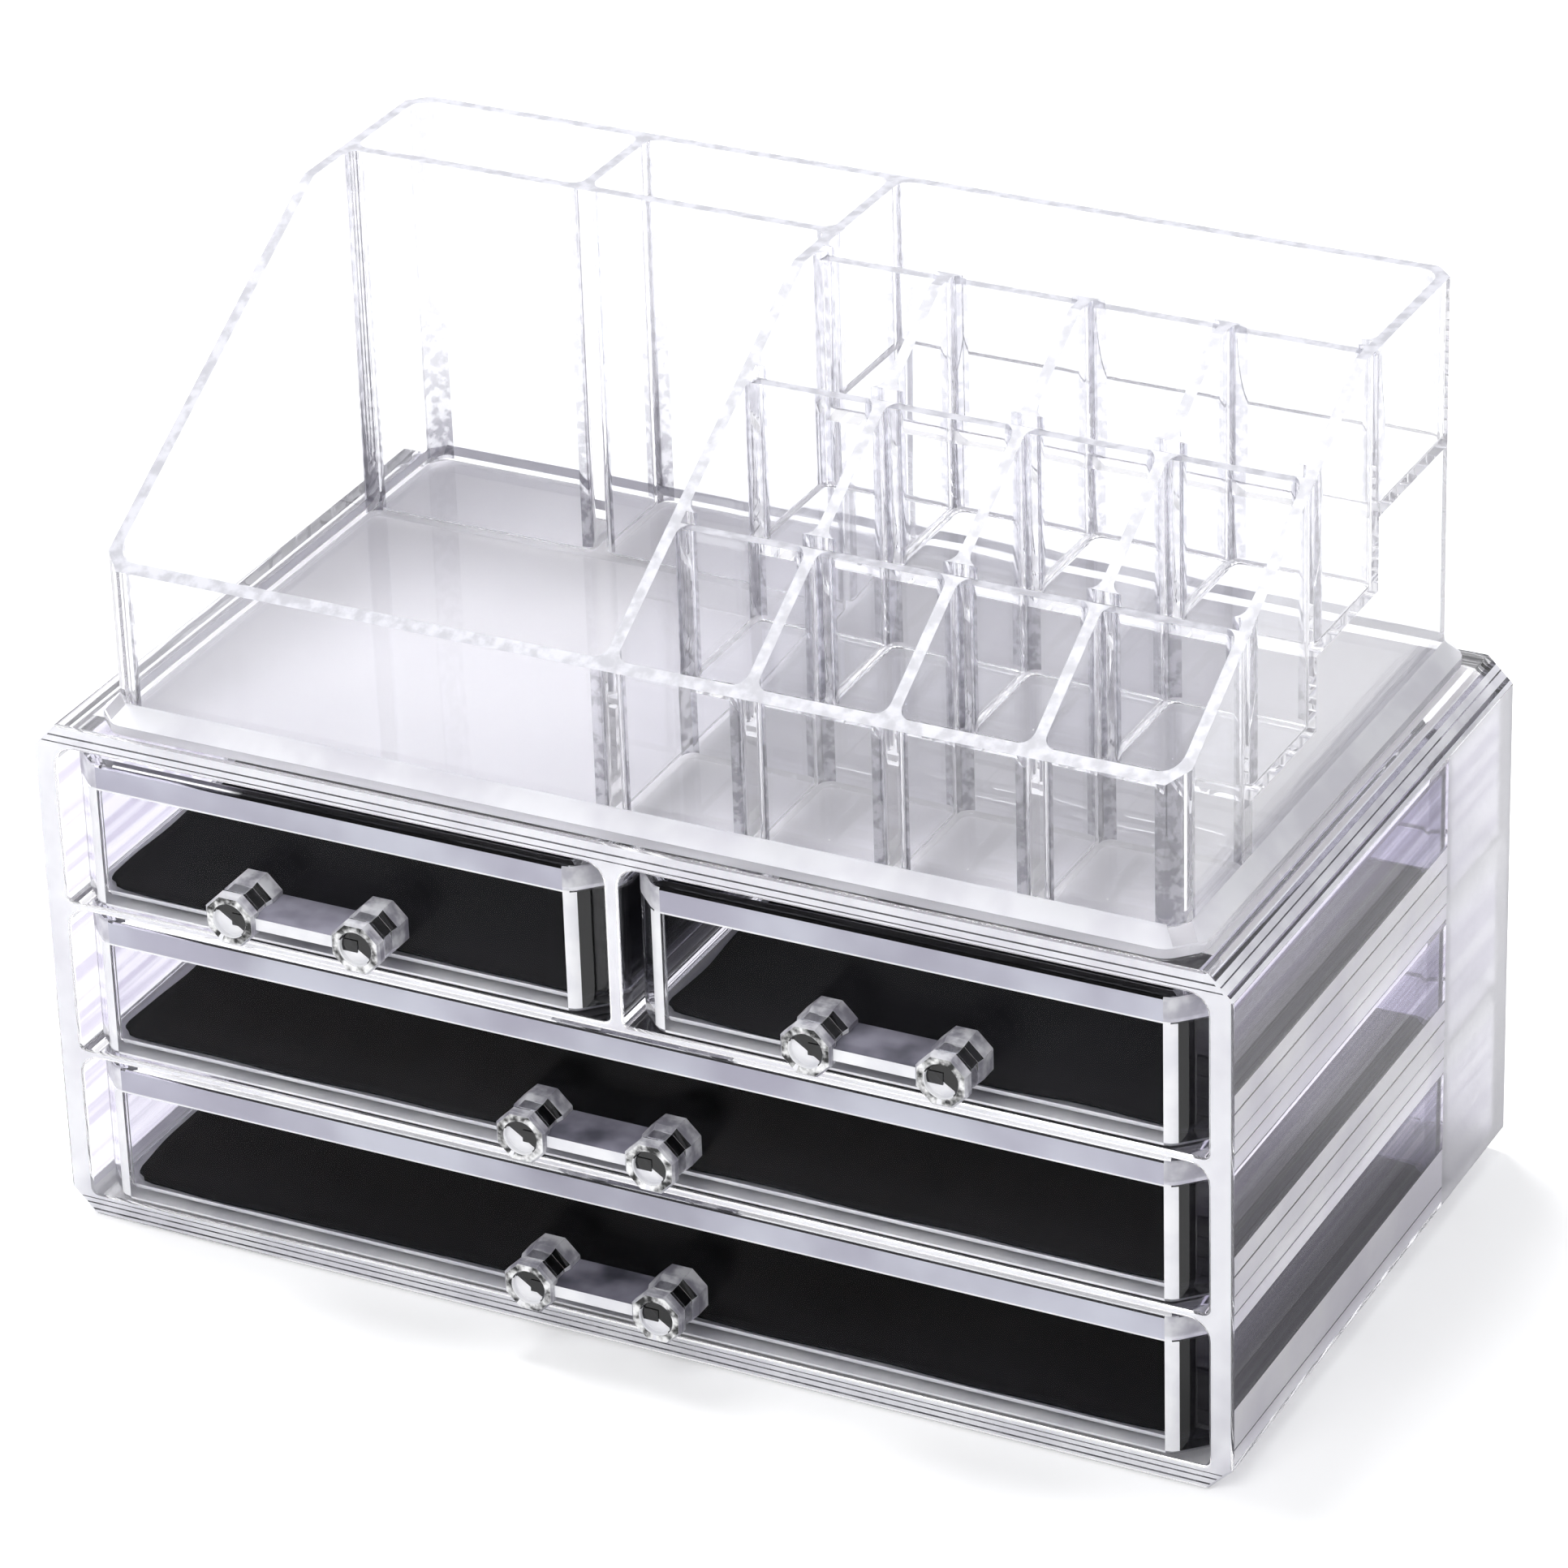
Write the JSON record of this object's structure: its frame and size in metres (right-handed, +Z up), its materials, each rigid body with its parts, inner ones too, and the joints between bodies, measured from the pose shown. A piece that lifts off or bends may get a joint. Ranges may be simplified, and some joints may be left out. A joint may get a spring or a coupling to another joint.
{
  "type": "drawer organiser",
  "caption": "Clear stacking cosmetics organiser: a chest of shallow drawers with octagonal pulls, under a slope-sided tray with stepped lipstick cells",
  "frame": {"origin": "on the table surface, under the middle of the whole outline with the handles included", "axes": "+X to the right seen from the front, +Y to the back (the drawers pull out along -Y), +Z up"},
  "size_m": [0.24, 0.1412, 0.183],
  "materials": {
    "clear_plastic": "clear moulded plastic, polished on both sides",
    "liner_black": "thin soft black pad, matt"
  },
  "bodies": {
    "chest": {"chest_sleeve": "clear_plastic", "chest_back_panel": "clear_plastic", "chest_lower_shelf": "clear_plastic", "chest_upper_shelf": "clear_plastic", "chest_partition": "clear_plastic"},
    "drawer_top_left": {"drawer_top_left_box": "clear_plastic", "drawer_top_left_liner": "liner_black", "drawer_top_left_handle": "clear_plastic"},
    "drawer_top_right": {"drawer_top_right_box": "clear_plastic", "drawer_top_right_liner": "liner_black", "drawer_top_right_handle": "clear_plastic"},
    "drawer_middle": {"drawer_middle_box": "clear_plastic", "drawer_middle_liner": "liner_black", "drawer_middle_handle": "clear_plastic"},
    "drawer_bottom": {"drawer_bottom_box": "clear_plastic", "drawer_bottom_liner": "liner_black", "drawer_bottom_handle": "clear_plastic"},
    "tray": {"tray_base": "clear_plastic", "tray_outer_wall": "clear_plastic", "tray_middle_wall": "clear_plastic", "tray_tall_wall": "clear_plastic", "tray_tall_divider": "clear_plastic", "tray_rear_bay_floor": "clear_plastic", "rack_row_2_floor": "clear_plastic", "rack_row_3_floor": "clear_plastic", "rack_row_1_wall": "clear_plastic", "rack_row_1_divider_1": "clear_plastic", "rack_row_1_divider_2": "clear_plastic", "rack_row_1_divider_3": "clear_plastic", "rack_row_2_wall": "clear_plastic", "rack_row_2_divider_1": "clear_plastic", "rack_row_2_divider_2": "clear_plastic", "rack_row_2_divider_3": "clear_plastic", "rack_row_3_wall": "clear_plastic", "rack_row_3_divider_1": "clear_plastic", "rack_row_3_divider_2": "clear_plastic", "rack_row_3_divider_3": "clear_plastic"}
  },
  "joints": [
    {"name": "drawer_top_left_slide", "type": "slide", "parent": "chest", "child": "drawer_top_left", "axis": [0, -1, 0], "range_m": [0, 0.08]},
    {"name": "drawer_top_right_slide", "type": "slide", "parent": "chest", "child": "drawer_top_right", "axis": [0, -1, 0], "range_m": [0, 0.08]},
    {"name": "drawer_middle_slide", "type": "slide", "parent": "chest", "child": "drawer_middle", "axis": [0, -1, 0], "range_m": [0, 0.08]},
    {"name": "drawer_bottom_slide", "type": "slide", "parent": "chest", "child": "drawer_bottom", "axis": [0, -1, 0], "range_m": [0, 0.08]},
    {"name": "tray_lift", "type": "slide", "parent": "chest", "child": "tray", "axis": [0, 0, 1], "range_m": [0, 0.04]}
  ]
}
